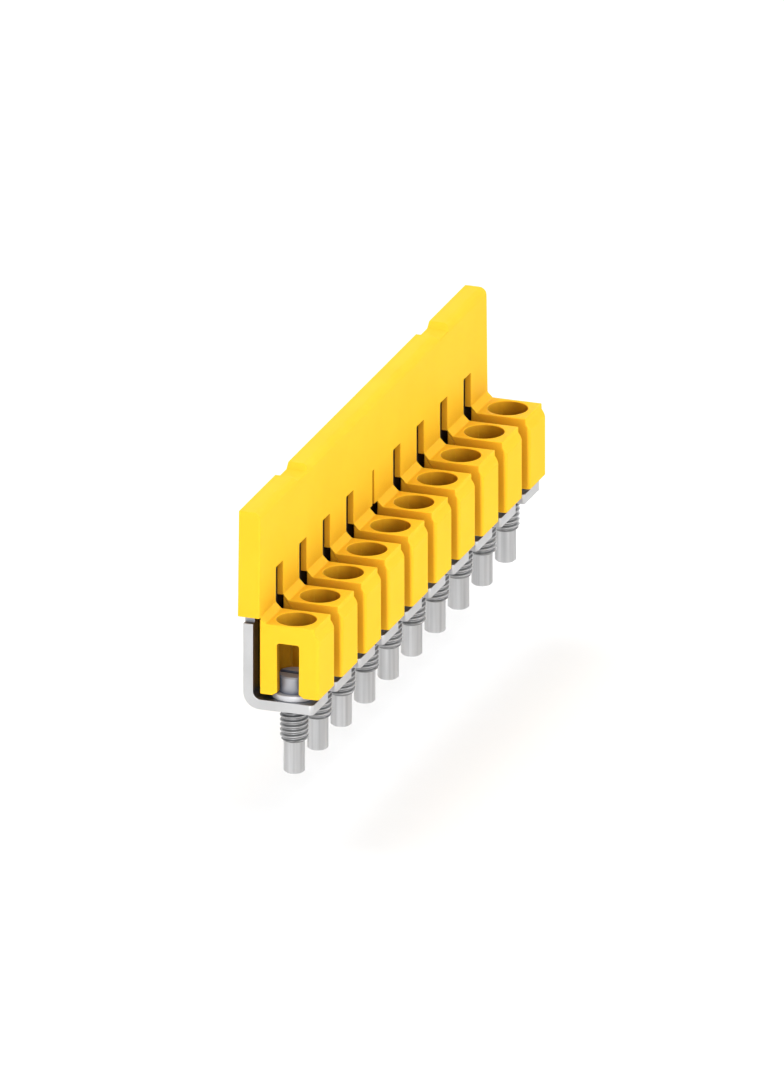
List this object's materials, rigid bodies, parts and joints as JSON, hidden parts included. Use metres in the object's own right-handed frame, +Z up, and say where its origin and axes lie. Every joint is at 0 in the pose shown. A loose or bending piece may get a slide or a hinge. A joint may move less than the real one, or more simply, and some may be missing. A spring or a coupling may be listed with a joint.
{
  "type": "insulated terminal jumper",
  "caption": "Insulated screw-in cross connector: L-shaped plated bar with captive dog-point screws in windowed turrets, behind them an upright yellow plate.",
  "frame": {"origin": "on the underside of the bar, halfway along the row, on the line of the screw axes", "axes": "+X along the row of poles; the plate is on the +Y side; +Z up, out of the terminals, along the screws"},
  "size_m": [0.0596, 0.0074, 0.0242],
  "materials": {
    "yellow_insulation": "yellow moulded polyamide, satin",
    "plated_bar": "copper alloy strip under bright tin plating, satin",
    "screw_steel": "zinc-plated steel, turned",
    "washer_steel": "zinc-plated steel, stamped"
  },
  "bodies": {
    "root": {"insulating_housing": "yellow_insulation", "contact_bar": "plated_bar", "screw_01": "screw_steel", "washer_01": "washer_steel", "screw_02": "screw_steel", "washer_02": "washer_steel", "screw_03": "screw_steel", "washer_03": "washer_steel", "screw_04": "screw_steel", "washer_04": "washer_steel", "screw_05": "screw_steel", "washer_05": "washer_steel", "screw_06": "screw_steel", "washer_06": "washer_steel", "screw_07": "screw_steel", "washer_07": "washer_steel", "screw_08": "screw_steel", "washer_08": "washer_steel", "screw_09": "screw_steel", "washer_09": "washer_steel", "screw_10": "screw_steel", "washer_10": "washer_steel"}
  },
  "joints": []
}
